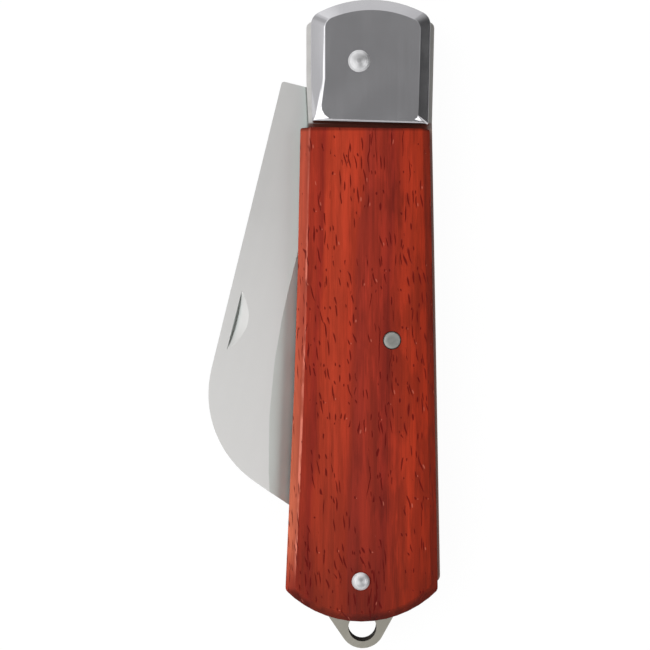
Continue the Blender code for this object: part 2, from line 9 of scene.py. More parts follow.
import bmesh
import bpy
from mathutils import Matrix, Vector


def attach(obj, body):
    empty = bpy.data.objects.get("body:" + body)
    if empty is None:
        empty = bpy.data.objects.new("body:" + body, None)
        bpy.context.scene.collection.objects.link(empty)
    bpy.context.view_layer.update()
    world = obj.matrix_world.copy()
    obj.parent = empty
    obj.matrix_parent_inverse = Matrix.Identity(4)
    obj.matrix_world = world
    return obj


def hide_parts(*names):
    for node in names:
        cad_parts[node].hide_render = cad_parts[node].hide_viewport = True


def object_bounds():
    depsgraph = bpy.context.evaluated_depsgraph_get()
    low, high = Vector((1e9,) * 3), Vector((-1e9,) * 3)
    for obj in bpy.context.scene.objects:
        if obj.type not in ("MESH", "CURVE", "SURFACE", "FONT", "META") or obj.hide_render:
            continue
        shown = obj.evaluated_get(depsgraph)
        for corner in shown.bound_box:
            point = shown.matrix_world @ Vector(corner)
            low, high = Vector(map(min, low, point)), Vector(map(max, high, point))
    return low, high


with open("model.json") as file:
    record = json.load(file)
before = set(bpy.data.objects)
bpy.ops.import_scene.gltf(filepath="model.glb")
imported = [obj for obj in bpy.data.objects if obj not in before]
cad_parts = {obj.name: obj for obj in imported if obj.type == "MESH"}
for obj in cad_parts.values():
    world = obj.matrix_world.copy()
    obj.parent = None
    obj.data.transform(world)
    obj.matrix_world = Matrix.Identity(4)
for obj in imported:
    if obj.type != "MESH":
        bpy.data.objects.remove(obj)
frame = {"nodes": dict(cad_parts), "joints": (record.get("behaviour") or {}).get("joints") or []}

mm = 0.001
cad_low, cad_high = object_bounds()
print("CAD box in mm:", [round(side / mm, 2) for side in cad_high - cad_low])

# %% [markdown]
# Every length in the lesson is in metres, and the name `mm` keeps the numbers readable. A small helper turns
# a colour as a screen shows it, from 0 to 255, into the linear colour that Blender's shaders work with. That
# way a colour can be judged and typed as it looks.

# %% Colours
screen_white = 255
screen_toe = 0.04045
screen_toe_slope = 12.92
screen_lift = 0.055
screen_power = 2.4


def linear(tone):
    share = tone / screen_white
    if share <= screen_toe:
        return share / screen_toe_slope
    return ((share + screen_lift) / (1 + screen_lift)) ** screen_power


def screen_colour(red, green, blue):
    return (linear(red), linear(green), linear(blue), 1.0)


print("mid grey in linear light:", round(linear(128), 3))

# %% [markdown]
# The knife is seen from almost straight above, from a little under 30 cm away. A camera this close looks into
# the hole of the lanyard eye and along the handle's left side, so its distance matters as much as its
# direction. It is placed from the pivot pin, which the CAD joint gives. With no turn at all a camera looks
# straight down with +Y at the top of the picture, so only the small tilt towards the butt has to be set.

# %% Camera
pivot = Vector(frame["joints"][0]["pos_m"])
camera_side = -6.226 * mm
camera_down = -40.474 * mm
camera_height = 275 * mm
aim_lower = 8 * mm
sensor_width = 36
lens_length = 80.757

camera_place = pivot + Vector((camera_side, camera_down, camera_height))
camera_tilt = -math.atan2(aim_lower, camera_height)
camera_data = bpy.data.cameras.new("overhead_camera")
camera_data.sensor_width = sensor_width
camera_data.lens = lens_length
camera_data.clip_start = mm
camera = bpy.data.objects.new("overhead_camera", camera_data)
camera.location = camera_place
camera.rotation_euler = (camera_tilt, 0, 0)
bpy.context.scene.collection.objects.link(camera)
bpy.context.scene.camera = camera
bpy.context.scene.view_settings.view_transform = "Standard"
print("camera stands", round(camera_height / mm), "mm above the pivot pin")

# %% [markdown]
# Materials are built from nodes. `add_node` keeps that readable: it makes a node, sets its properties, and
# either fills a socket with a value or links it to another node's output. `calculate` does the same for one
# step of arithmetic, and the four steps that come up most get a name of their own.


# %% Nodes and arithmetic
def add_node(tree, kind, inputs=None, **settings):
    made = tree.nodes.new(kind)
    for name, value in settings.items():
        setattr(made, name, value)
    for socket, value in (inputs or {}).items():
        if isinstance(value, bpy.types.NodeSocket):
            tree.links.new(value, made.inputs[socket])
        else:
            made.inputs[socket].default_value = value
    return made


def calculate(tree, operation, *values):
    made = add_node(tree, "ShaderNodeMath", dict(enumerate(values)), operation=operation)
    return made.outputs[0]


def add(tree, first, second):
    return calculate(tree, "ADD", first, second)


def subtract(tree, first, second):
    return calculate(tree, "SUBTRACT", first, second)


def divide(tree, first, second):
    return calculate(tree, "DIVIDE", first, second)


def multiply(tree, first, *others):
    for other in others:
        first = calculate(tree, "MULTIPLY", first, other)
    return first


print("arithmetic ready")

# %% [markdown]
# The next helpers do the painter's work. `ease` is a soft step between two values: it takes a start and an
# end, and gives 0 to 1 or any two levels instead. `axes` splits a place into its x, y and z. `grain_noise`
# stretches a noise, because the marks on a knife are longer than they are wide.


# %% Masks and blends
def ease(tree, value, start, end, low=0.0, high=1.0):
    inputs = {0: value, 1: start, 2: end, 3: low, 4: high}
    made = add_node(tree, "ShaderNodeMapRange", inputs, interpolation_type="SMOOTHSTEP")
    return made.outputs[0]


def blend_values(tree, share, first, second):
    made = add_node(tree, "ShaderNodeMix", {0: share, 2: first, 3: second}, data_type="FLOAT")
    return made.outputs[0]


def blend_colours(tree, share, first, second, blend_type="MIX"):
    inputs = {0: share, 6: first, 7: second}
    made = add_node(tree, "ShaderNodeMix", inputs, data_type="RGBA", blend_type=blend_type)
    return made.outputs[2]


def scale_colour(tree, colour, factor):
    inputs = {0: colour, "Scale": factor}
    return add_node(tree, "ShaderNodeVectorMath", inputs, operation="SCALE").outputs[0]


def axes(tree, place):
    return tuple(add_node(tree, "ShaderNodeSeparateXYZ", {0: place}).outputs)


def stretch(tree, place, across, along, deep):
    inputs = {0: place, 1: (across, along, deep)}
    return add_node(tree, "ShaderNodeVectorMath", inputs, operation="MULTIPLY").outputs[0]


def noise(tree, place, scale, detail, roughness=0.5):
    inputs = {"Vector": place, "Scale": scale, "Detail": detail, "Roughness": roughness}
    return add_node(tree, "ShaderNodeTexNoise", inputs).outputs[0]


def grain_noise(tree, place, grain, detail, roughness=0.5):
    return noise(tree, stretch(tree, place, *grain), 1.0, detail, roughness)


def about_middle(tree, value, reach):
    return multiply(tree, subtract(tree, value, 0.5), reach)


print("masks and blends ready")

# %% [markdown]
# Cards and lamps are placed as on a compass: an azimuth, counted from +X towards +Y, and a height above the
# horizon. One helper turns the two angles into a direction.


# %% Directions
def way(azimuth_deg, height_deg):
    azimuth = math.radians(azimuth_deg)
    height = math.radians(height_deg)
    flat = math.cos(height)
    return Vector((flat * math.cos(azimuth), flat * math.sin(azimuth), math.sin(height)))


print("towards the slot side:", [round(part, 2) for part in way(180, 0)])

# %% [markdown]
# Polished steel shows what stands round it, so the room is half of its look. A photographer hangs white cloth
# on most sides and leaves the camera's own direction and the right side dim. Here the world does that by
# direction alone, with no object to build: a belt of cloth at the horizon, a ring of cloth above it, and a
# dim patch straight overhead. Both are brightest beyond the head and dimmest at the right. Towards the butt
# the lower one is dim too, but for a bright strip at table height.

# %% World: the cloth
overhead_level = 0.31
ring_level = 0.88
ring_behind_level = 1.1
ring_right_level = 0.42
horizon_level = 0.77
horizon_behind_level = 0.90
horizon_right_level = 0.09
horizon_butt_level = 0.30
table_butt_level = 1.0
right_span = (0.25, 0.9)
butt_span = (0.35, 0.9)
behind_span = (-0.35, -0.9)
table_span = (0.28, 0.42)
ring_span = (0.25, 0.65)
overhead_span = (math.cos(math.radians(34)), math.cos(math.radians(14)))
least_flat = 0.01

world = bpy.data.worlds.new("studio_room")
world.use_nodes = True
bpy.context.scene.world = world
room = world.node_tree
room.nodes.clear()
toward = add_node(room, "ShaderNodeTexCoord").outputs["Generated"]
direction = add_node(room, "ShaderNodeVectorMath", {0: toward}, operation="NORMALIZE").outputs[0]
right, behind, up = axes(room, direction)
flat_part = calculate(room, "SQRT", subtract(room, 1.0, multiply(room, up, up)))
flat_part = calculate(room, "MAXIMUM", flat_part, least_flat)
right_share = divide(room, right, flat_part)
butt_share = multiply(room, divide(room, behind, flat_part), -1.0)
to_right = ease(room, right_share, *right_span)
to_butt = ease(room, butt_share, *butt_span)
to_behind = ease(room, butt_share, *behind_span)

ring = blend_values(room, to_behind, ring_level, ring_behind_level)
ring = blend_values(room, to_right, ring, ring_right_level)
horizon = blend_values(room, to_behind, horizon_level, horizon_behind_level)
horizon = blend_values(room, to_right, horizon, horizon_right_level)
butt_level = ease(room, up, *table_span, table_butt_level, horizon_butt_level)
horizon = blend_values(room, to_butt, horizon, butt_level)
light_level = blend_values(room, ease(room, up, *ring_span), horizon, ring)
light_level = blend_values(room, ease(room, up, *overhead_span), light_level, overhead_level)
print("cloth nodes:", len(room.nodes))

# %% [markdown]
# Nine soft cards stand in front of the cloth. Each is a round patch with an azimuth, a height, a level, and
# the angles at which it begins and is full. They are what the bolster's bevels, its corners and the domed
# rivets mirror: a bright one gives a glint, and a dim one takes light off a bevel.

# %% World: the cards
cards = (
    (166, 52, 1.42, 26, 9),
    (-174, 50, 2.4, 12, 6),
    (164, 36, 2.2, 9, 4),
    (-9, 48, 2.4, 24, 15),
    (113, 8, 1.25, 11, 4),
    (122, 41, 1.7, 13, 6),
    (138, 19, 0.62, 12, 5),
    (5, 29, 0.46, 19, 7),
    (-138, 60, 2.2, 28, 12),
)

for azimuth, height, card_level, edge_deg, core_deg in cards:
    inputs = {0: direction, 1: way(azimuth, height)}
    facing = add_node(room, "ShaderNodeVectorMath", inputs, operation="DOT_PRODUCT").outputs["Value"]
    card = ease(room, facing, math.cos(math.radians(edge_deg)), math.cos(math.radians(core_deg)))
    light_level = blend_values(room, card, light_level, card_level)

white = (1.0, 1.0, 1.0, 1.0)
sky = add_node(room, "ShaderNodeBackground", {"Color": white, "Strength": light_level})
add_node(room, "ShaderNodeOutputWorld", {"Surface": sky.outputs[0]})
print("room nodes:", len(room.nodes))

# %% [markdown]
# One large soft lamp from the left, at half height, lights the left chamfer of the wood and leaves the right
# one dark. It gives daylight only and isn't seen in reflections, because the polished bevels should mirror
# the cloth and not a round lamp. Its power follows from how much of the daylight on a flat face it should
# give, so that a colour still renders about as it is written.

# %% Lamp
lamp_share = 0.46
lamp_distance = 0.8
lamp_azimuth_deg = 163
lamp_height_deg = 54
lamp_size = 0.76

lamp_way = way(lamp_azimuth_deg, lamp_height_deg)
lamp_data = bpy.data.lights.new("left_softbox", "AREA")
lamp_data.shape = "DISK"
lamp_data.size = lamp_size
lamp_up = math.sin(math.radians(lamp_height_deg))
lamp_data.energy = lamp_share * (math.pi * lamp_distance) ** 2 / lamp_up
lamp = bpy.data.objects.new("left_softbox", lamp_data)
lamp.visible_glossy = False
middle = (cad_low + cad_high) / 2
lamp.location = middle + lamp_way * lamp_distance
lamp.rotation_euler = (-lamp_way).to_track_quat("-Z", "Y").to_euler()
bpy.context.scene.collection.objects.link(lamp)
print("softbox power in watts:", round(lamp_data.energy, 2))

# %% [markdown]
# The knife lies on a plain pale floor. The floor is a little brighter to the camera and in reflections than
# its own daylight makes it, by Light Path, so that the paper reads as white while it still takes a soft
# shadow.

# %% Floor
floor_half = 4.0
floor_colour = (0.93, 0.93, 0.93, 1.0)
fibre_colour = (0.95, 0.95, 0.95, 1.0)
fibre_scale = 900
fibre_span = (0.2, 0.8)
paper_share = 0.95

floor_mesh = bpy.data.meshes.new("paper_floor")
corners = [(-1, -1), (1, -1), (1, 1), (-1, 1)]
floor_mesh.from_pydata([(x * floor_half, y * floor_half, 0) for x, y in corners], [], [(0, 1, 2, 3)])
floor = bpy.data.objects.new("paper_floor", floor_mesh)
floor.location.z = cad_low.z
bpy.context.scene.collection.objects.link(floor)

paper = bpy.data.materials.new("white_paper")
paper.use_nodes = True
tree = paper.node_tree
tree.nodes.clear()
path = add_node(tree, "ShaderNodeLightPath").outputs
seen = calculate(tree, "MAXIMUM", path["Is Camera Ray"], path["Is Glossy Ray"])
seen = calculate(tree, "MAXIMUM", seen, path["Is Transmission Ray"])
paper_place = add_node(tree, "ShaderNodeTexCoord").outputs["Object"]
paper_fibres = ease(tree, noise(tree, paper_place, fibre_scale, detail=3), *fibre_span)
paper_colour = blend_colours(tree, paper_fibres, floor_colour, fibre_colour)
matte = add_node(tree, "ShaderNodeBsdfDiffuse", {"Color": paper_colour})
glow = add_node(tree, "ShaderNodeEmission", {"Color": white, "Strength": 1.0})
inputs = {0: multiply(tree, seen, paper_share), 1: matte.outputs[0], 2: glow.outputs[0]}
blended = add_node(tree, "ShaderNodeMixShader", inputs)
add_node(tree, "ShaderNodeOutputMaterial", {"Surface": blended.outputs[0]})
floor_mesh.materials.append(paper)
print("floor is", 2 * floor_half, "m wide")

# %% [markdown]
# No edge on a finished knife is as sharp as CAD draws it: buffing and hands round it, and the rounding
# catches the light as a thin line. A Bevel modifier on the CAD node would do this too, but it can't mark
# where the rounding is. So each main piece is copied, its flat faces are put back together, and its sharp
# edges are rounded by a real bevel. Faces that meet at a low angle, such as the bolster's facet, keep a
# crisp edge where the maker's wheel left one.

# %% Round the edges
weld_distance = 0.001 * mm
flat_within = math.radians(0.5)
corner_turn = math.radians(28)
bolster_facet_turn = math.radians(17.5)
wood_corner_turn = math.radians(14)
grind_turn = math.radians(4)
rounding_rows = 3
level_rise = 0.2


def is_crisp(edge, least_turn):
    if not edge.is_manifold or edge.calc_face_angle(0) < least_turn:
        return False
    rise = abs(edge.verts[0].co.z - edge.verts[1].co.z)
    return rise < level_rise * edge.calc_length()


def rounded_copy(node, rounding, least_corner):
    shape = bmesh.new()
    shape.from_mesh(frame["nodes"][node].data)
    bmesh.ops.remove_doubles(shape, verts=shape.verts, dist=weld_distance)
    bmesh.ops.dissolve_limit(
        shape,
        angle_limit=flat_within,
        use_dissolve_boundaries=False,
        verts=shape.verts,
        edges=shape.edges,
    )
    sharp = [e for e in shape.edges if e.is_manifold and e.calc_face_angle(0) > least_corner]
    rounded = bmesh.ops.bevel(
        shape,
        geom=sharp,
        offset=rounding,
        offset_type="OFFSET",
        segments=rounding_rows,
        profile=0.5,
        affect="EDGES",
        clamp_overlap=True,
        miter_outer="SHARP",
        miter_inner="SHARP",
    )
    print(node, "edges to round:", len(sharp))
    return shape, set(rounded["faces"])


print("rounding rows:", rounding_rows)

# %% [markdown]
# Five attributes are stored on each copy, and the materials read them. `soft_edge` is 1 on the rounding,
# `sloped` on every face that doesn't lie flat, `milled` on steeper cuts such as the nail nick, and `bore` on
# the wall of the lanyard eye. `end_grain` grows towards the head and the butt, where the wood was cut across
# its fibres.

# %% Mark the faces
flat_normal = 0.985
wall_normal = 0.5
milled_normal = 0.966
flat_sideways = 0.1
end_from = 0.2
end_full = 0.85
eye_middle = Vector((7.2 * mm, -56.54 * mm))
eye_reach = 2.8 * mm


def end_share(normal):
    sideways = normal.xy.length
    if sideways < flat_sideways:
        return 0.0
    along_share = (abs(normal.y) / sideways - end_from) / (end_full - end_from)
    return min(1.0, max(0.0, along_share))


def mark_faces(shape, strip):
    edge_mark = shape.verts.layers.float.new("soft_edge")
    slope_mark = shape.faces.layers.float.new("sloped")
    bore_mark = shape.faces.layers.float.new("bore")
    end_mark = shape.faces.layers.float.new("end_grain")
    milled_mark = shape.faces.layers.float.new("milled")
    for vert in shape.verts:
        vert[edge_mark] = float(bool(vert.link_faces) and all(f in strip for f in vert.link_faces))
    for face in shape.faces:
        upright = abs(face.normal.z)
        face[slope_mark] = float(face in strip or upright < flat_normal)
        in_eye = (face.calc_center_median().xy - eye_middle).length < eye_reach
        face[bore_mark] = float(in_eye and upright < wall_normal)
        face[end_mark] = end_share(face.normal)
        face[milled_mark] = float(wall_normal < upright < milled_normal)


print("eye's middle in mm:", [round(part / mm, 2) for part in eye_middle])

# %% [markdown]
# A finished copy hangs from an empty for its body, the handle or the blade, and its CAD node is hidden, so
# the copy takes its place. Its shading is weighted by area, which keeps the broad faces flat and lets the
# narrow rounding do the turning.


# %% Softened pieces
def softened(node, body, rounding, crisp_turn=math.pi, least_corner=corner_turn, bias=100):
    shape, strip = rounded_copy(node, rounding, least_corner)
    mark_faces(shape, strip)
    for edge in shape.edges:
        edge.smooth = not is_crisp(edge, crisp_turn)
    for face in shape.faces:
        face.smooth = True
    mesh = bpy.data.meshes.new(node + "_finished")
    shape.to_mesh(mesh)
    shape.free()
    piece = bpy.data.objects.new(node + "_finished", mesh)
    bpy.context.scene.collection.objects.link(piece)
    shading = piece.modifiers.new("even_shading", "WEIGHTED_NORMAL")
    shading.weight = bias
    shading.keep_sharp = True
    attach(piece, body)
    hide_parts(node)
    print(piece.name, "faces:", len(mesh.polygons))
    return piece


bolster_rounding = 0.12 * mm
wood_rounding = 0.24 * mm
liner_rounding = 0.08 * mm
spring_rounding = 0.18 * mm
blade_rounding = 0.05 * mm

bolsters = [
    softened(node, "handle", bolster_rounding, crisp_turn=bolster_facet_turn, bias=50)
    for node in ("front_bolster", "rear_bolster")
]
scales = [
    softened(node, "handle", wood_rounding, least_corner=wood_corner_turn)
    for node in ("front_scale", "rear_scale")
]
liners = [
    softened(node, "handle", liner_rounding) for node in ("front_liner", "rear_liner")
]
spring = softened("backspring", "handle", spring_rounding)
blade = softened("blade", "blade", blade_rounding, crisp_turn=grind_turn)

# %% [markdown]
# An effect that serves more than one finish, or one finish twice, is a node group, built once. Places come in
# as millimetres, which makes every number below a size on the knife. The groups put out masks and colours
# only, and each material decides what a mask does.

# %% Group helpers
FLOAT = "NodeSocketFloat"
VECTOR = "NodeSocketVector"
COLOUR = "NodeSocketColor"


def new_group(name, inputs, outputs):
    tree = bpy.data.node_groups.new(name, "ShaderNodeTree")
    for socket, kind, value in inputs:
        made = tree.interface.new_socket(socket, in_out="INPUT", socket_type=kind)
        if value is not None:
            made.default_value = value
    for socket, kind in outputs:
        tree.interface.new_socket(socket, in_out="OUTPUT", socket_type=kind)
    start = tree.nodes.new("NodeGroupInput")
    end = tree.nodes.new("NodeGroupOutput")
    return tree, start.outputs, end.inputs


def use_group(tree, group, inputs):
    return add_node(tree, "ShaderNodeGroup", inputs, node_tree=group).outputs


print("group helpers ready")

# %% [markdown]
# Satin steel has fine parallel lines from the grinding belt. Noise that is stretched a long way in one
# direction gives lines of uneven length and strength, as a real belt does, where a wave texture would look
# like a screen.

# %% Group: belt lines
broad_scale = 0.06

belt_lines, given, result = new_group(
    "belt_lines",
    [("Place", VECTOR, None), ("Line Width", FLOAT, 0.08), ("Line Length", FLOAT, 12.0)],
    [("Lines", FLOAT), ("Broad Bands", FLOAT)],
)
thin = divide(belt_lines, 1.0, given["Line Width"])
long = divide(belt_lines, 1.0, given["Line Length"])
scaling = add_node(belt_lines, "ShaderNodeCombineXYZ", {0: thin, 1: long, 2: thin}).outputs[0]
inputs = {0: given["Place"], 1: scaling}
place = add_node(belt_lines, "ShaderNodeVectorMath", inputs, operation="MULTIPLY").outputs[0]
fine_lines = noise(belt_lines, place, 1.0, detail=3, roughness=0.6)
broad_lines = noise(belt_lines, place, broad_scale, detail=2)
belt_lines.links.new(fine_lines, result["Lines"])
belt_lines.links.new(broad_lines, result["Broad Bands"])
print(belt_lines.name, len(belt_lines.nodes), "nodes")

# %% [markdown]
# A handled knife also carries faint smudges and a few hair-thin scratches that follow no direction. The
# scratches are the lines where a stretched noise crosses its middle value, thinned out by a second noise.

# %% Group: handling marks
smudge_span = (0.3, 0.7)
scratch_turn = (0.0, 0.0, 0.6)
scratch_grain = (1.0, 0.22, 1.0)
hair_width = 0.006
patch_scale = 0.35
patch_span = (0.5, 0.62)

handling_marks, given, result = new_group(
    "handling_marks",
    [("Place", VECTOR, None), ("Smudge Size", FLOAT, 6.0), ("Scratch Spacing", FLOAT, 3.0)],
    [("Smudges", FLOAT), ("Scratches", FLOAT)],
)
smudge_scale = divide(handling_marks, 1.0, given["Smudge Size"])
scratch_scale = divide(handling_marks, 1.0, given["Scratch Spacing"])
smudge = noise(handling_marks, given["Place"], smudge_scale, detail=4, roughness=0.55)
handling_marks.links.new(ease(handling_marks, smudge, *smudge_span), result["Smudges"])
inputs = {"Vector": given["Place"], "Rotation": scratch_turn}
slanted = add_node(handling_marks, "ShaderNodeMapping", inputs).outputs[0]
drawn = stretch(handling_marks, slanted, *scratch_grain)
hair = noise(handling_marks, drawn, scratch_scale, detail=1, roughness=0.4)
off_line = calculate(handling_marks, "ABSOLUTE", subtract(handling_marks, hair, 0.5))
hair_line = ease(handling_marks, off_line, hair_width, 0.0)
patches = noise(handling_marks, given["Place"], patch_scale, detail=2)
patches = ease(handling_marks, patches, *patch_span)
handling_marks.links.new(multiply(handling_marks, hair_line, patches), result["Scratches"])
print(handling_marks.name, len(handling_marks.nodes), "nodes")

# %% [markdown]
# Wear shows first on the rounded edges. The mask takes the `soft_edge` attribute and breaks it up with a
# patchy noise, so that the edge is worn in some places and almost new in others.

# %% Group: edge wear
wear_before = 0.2
wear_after = 0.15

edge_wear, given, result = new_group(
    "edge_wear",
    [("Edge", FLOAT, 0.0), ("Place", VECTOR, None), ("Patch Size", FLOAT, 3.0), ("Amount", FLOAT, 0.5)],
    [("Wear", FLOAT)],
)
wear_scale = divide(edge_wear, 1.0, given["Patch Size"])
patchy = noise(edge_wear, given["Place"], wear_scale, detail=4, roughness=0.6)
threshold = subtract(edge_wear, 1.0, given["Amount"])
start_wear = subtract(edge_wear, threshold, wear_before)
end_wear = add(edge_wear, threshold, wear_after)
patchy = ease(edge_wear, patchy, start_wear, end_wear)
edge_wear.links.new(multiply(edge_wear, given["Edge"], patchy), result["Wear"])
print(edge_wear.name, len(edge_wear.nodes), "nodes")

# %% [markdown]
# Each material starts from the same few nodes. `millimetre_place` gives the place on the knife in
# millimetres, and `from_middle` says how far a point lies above or below the spring's layer, so that front
# and rear are painted alike.


# %% Start of a material
def millimetre_place(tree):
    where = add_node(tree, "ShaderNodeTexCoord").outputs["Object"]
    return stretch(tree, where, 1 / mm, 1 / mm, 1 / mm)


def attribute(tree, name):
    return add_node(tree, "ShaderNodeAttribute", attribute_name=name).outputs["Fac"]


def from_middle(tree, z):
    return calculate(tree, "ABSOLUTE", subtract(tree, z, pivot.z / mm))


def new_material(name):
    material = bpy.data.materials.new(name)
    material.use_nodes = True
    tree = material.node_tree
    tree.nodes.clear()
    shader = add_node(tree, "ShaderNodeBsdfPrincipled")
    add_node(tree, "ShaderNodeOutputMaterial", {"Surface": shader.outputs[0]})
    return material, tree, shader


def add_relief(tree, shader, depth, height):
    relief = add_node(tree, "ShaderNodeBump", {"Strength": 1.0, "Distance": depth, "Height": height})
    tree.links.new(relief.outputs[0], shader.inputs["Normal"])


print("middle layer at", round(pivot.z / mm, 2), "mm")

# %% [markdown]
# Steel in a handle doesn't keep one tone. Ambient Occlusion finds corners and gaps, and one function darkens
# them, one layer per call: partly oil and wood dust, partly painted shade where light can't reach. Another
# function paints a shade along a piece's length. Another paints a shade towards the back of the handle, in
# one tint beside the wood and another beside the bolster. The top of a dome gets a painted shade, darker than
# its rim. Each is a small function, so that a steel uses only what it needs.

# %% Tones of steel
wood_top = 36.85
head_ease = 0.5
dust_shade_top_ease = 0.4
dust_shade_at_head = 0.1


# Darkens what Ambient Occlusion finds shut in: partly dust, partly painted shade where light can't reach.
def with_dust_and_shade(tree, base, place, colour, reach, closed, opened, below=None):
    shut_in = add_node(tree, "ShaderNodeAmbientOcclusion", {"Distance": reach}).outputs["AO"]
    amount = ease(tree, shut_in, opened, closed)
    if below is not None:
        y = axes(tree, place)[1]
        amount = multiply(tree, amount, ease(tree, y, below + dust_shade_top_ease, below, dust_shade_at_head, 1.0))
    return blend_colours(tree, amount, base, colour)


# A painted shade that changes along the piece's length.
def with_painted_fade(tree, base, place, span):
    return scale_colour(tree, base, ease(tree, axes(tree, place)[1], *span))


# A painted shade towards the back of the handle: one tint, reddened, beside the wood, and another beside the
# bolster.
def with_painted_back_shade(tree, base, place, start, end, wood_side_shade, head_side_shade):
    x, y, z = axes(tree, place)
    at_head = ease(tree, y, wood_top, wood_top + head_ease)
    back_shade_tint = blend_colours(tree, at_head, wood_side_shade, head_side_shade)
    return blend_colours(tree, ease(tree, x, start, end), base, back_shade_tint, "MULTIPLY")


# A painted shade on a dome's top, darker than its rim.
def with_shaded_top(tree, base, place, span):
    return scale_colour(tree, base, ease(tree, from_middle(tree, axes(tree, place)[2]), *span))


print("the wood ends at", wood_top, "mm")

# %% [markdown]
# All steel finishes share one recipe: a base colour that varies a little, a roughness that varies with the
# belt lines and smudges, and a very low bump. What differs is how polished each piece is and which tones it
# has, so the recipe is a function and each steel has its own row of values.

# %% Metal recipe
# The lanyard eye's wall is painted near black: painted shade inside the hole.
bore_shade_colour = (0.03, 0.028, 0.026, 1.0)
bore_cover = 0.9
bore_rough = 0.9
smudge_size = 7.0
scratch_spacing = 2.5
smudge_dulling = 0.12
smudge_rough = 0.05
scratch_rough = 0.12
scratch_depth = 1.5
worn_gain = 1.12
worn_cover = 0.6
tint_span = (0.25, 0.75)
line_span = (0.2, 0.8)


def metal(
    name,
    colour,
    dark,
    rough,
    slope_rough,
    line_width,
    line_length,
    turn_deg,
    line_depth,
    wear=0.35,
    scratch=0.4,
    unevenness=0.15,
    slope_shade_tint=None,
    milled_rough=None,
    dust_and_shade=(),
    fade_shade=None,
    back_shade=None,
    top_shade=None,
    bored=False,
):
    material, tree, shader = new_material(name)
    place = millimetre_place(tree)
    inputs = {"Vector": place, "Rotation": (0.0, 0.0, math.radians(turn_deg))}
    turned = add_node(tree, "ShaderNodeMapping", inputs).outputs[0]
    inputs = {"Place": turned, "Line Width": line_width, "Line Length": line_length}
    lines = use_group(tree, belt_lines, inputs)
    inputs = {"Place": place, "Smudge Size": smudge_size, "Scratch Spacing": scratch_spacing}
    marks = use_group(tree, handling_marks, inputs)
    inputs = {"Edge": attribute(tree, "soft_edge"), "Place": place, "Amount": wear}
    worn = use_group(tree, edge_wear, inputs)["Wear"]
    slope = attribute(tree, "sloped")
    milled = attribute(tree, "milled")

    tint = blend_values(tree, 0.5, lines["Lines"], lines["Broad Bands"])
    base = blend_colours(tree, ease(tree, tint, *tint_span), dark, colour)
    base = blend_colours(tree, multiply(tree, marks["Smudges"], smudge_dulling), base, dark)
    bright = tuple(min(1.0, worn_gain * part) for part in colour[:3]) + (1.0,)
    base = blend_colours(tree, multiply(tree, worn, worn_cover), base, bright)
    # Sloped faces, other than milled ones, get a painted shade.
    if slope_shade_tint:
        base = blend_colours(tree, subtract(tree, slope, milled), base, slope_shade_tint, "MULTIPLY")
    if fade_shade:
        base = with_painted_fade(tree, base, place, fade_shade)
    if back_shade:
        base = with_painted_back_shade(tree, base, place, *back_shade)
    if top_shade:
        base = with_shaded_top(tree, base, place, top_shade)
    for layer in dust_and_shade:
        base = with_dust_and_shade(tree, base, place, **layer)

    low = 1 - unevenness
    high = 1 + unevenness
    flat_rough = ease(tree, lines["Lines"], *line_span, rough * low, rough * high)
    bevel_rough = ease(tree, lines["Lines"], *line_span, slope_rough * low, slope_rough * high)
    roughness = blend_values(tree, slope, flat_rough, bevel_rough)
    if milled_rough:
        roughness = blend_values(tree, milled, roughness, milled_rough)
    roughness = add(tree, roughness, multiply(tree, marks["Smudges"], smudge_rough))
    roughness = add(tree, roughness, multiply(tree, marks["Scratches"], scratch_rough * scratch))

    shader.inputs["Specular IOR Level"].default_value = 0
    shader.inputs["Metallic"].default_value = 1.0
    # The eye's wall gets a painted shade: near black, rough and not metallic.
    if bored:
        bore = attribute(tree, "bore")
        base = blend_colours(tree, multiply(tree, bore, bore_cover), base, bore_shade_colour)
        roughness = blend_values(tree, bore, roughness, bore_rough)
        tree.links.new(subtract(tree, 1.0, bore), shader.inputs["Metallic"])
    tree.links.new(base, shader.inputs["Base Color"])
    tree.links.new(roughness, shader.inputs["Roughness"])
    scored = multiply(tree, marks["Scratches"], scratch_depth * scratch)
    add_relief(tree, shader, line_depth, subtract(tree, lines["Lines"], scored))
    print(name, "made")
    return material


print("metal recipe ready")

# %% [markdown]
# The bolster is a forged steel cap, buffed flat on its face and polished on its bevels. The flat face mirrors
# the dim place above it and reads as dark grey, while the bevels mirror the pale room. So one colour of steel
# serves the whole cap, and only the roughness changes.

# %% Bolster steel
bolster_steel = metal(
    "bolster_steel",
    colour=(0.56, 0.555, 0.575, 1.0),
    dark=(0.54, 0.535, 0.555, 1.0),
    rough=0.16,
    slope_rough=0.13,
    line_width=0.12,
    line_length=9.0,
    turn_deg=0,
    line_depth=0.00015 * mm,
    scratch=0.1,
)

# %% [markdown]
# The blade is satin ground. Its broad sheen gathers light from a wide part of the room, so it looks much
# paler than the bolster though both are steel. Its belt lines run along it, and the blade leans by a few
# degrees. Its grind bevel gets a painted shade, and the blade is painted a little darker towards the bolster.
# Two layers of painted shade, found by Ambient Occlusion, lie on it: a wide light one where it goes under the
# wood, and a short dark one that draws the line of the nail nick.

# %% Blade steel
blade_lean_deg = 14
blade_steel = metal(
    "blade_steel",
    colour=(0.65, 0.645, 0.635, 1.0),
    dark=(0.64, 0.635, 0.625, 1.0),
    rough=0.46,
    slope_rough=0.42,
    line_width=0.1,
    line_length=14.0,
    turn_deg=blade_lean_deg,
    line_depth=0.0004 * mm,
    scratch=0.15,
    unevenness=0.05,
    slope_shade_tint=(0.84, 0.885, 0.865, 1.0),
    milled_rough=0.5,
    # Painted shade: wide and light beside the wood, short and dark in the nail nick.
    dust_and_shade=(
        dict(colour=(0.60, 0.655, 0.635, 1.0), reach=3.5 * mm, closed=0.5, opened=0.97),
        dict(colour=(0.11, 0.11, 0.10, 1.0), reach=0.8 * mm, closed=0.55, opened=0.82),
    ),
    fade_shade=(32.0, 0.0, 0.85, 0.92),
)
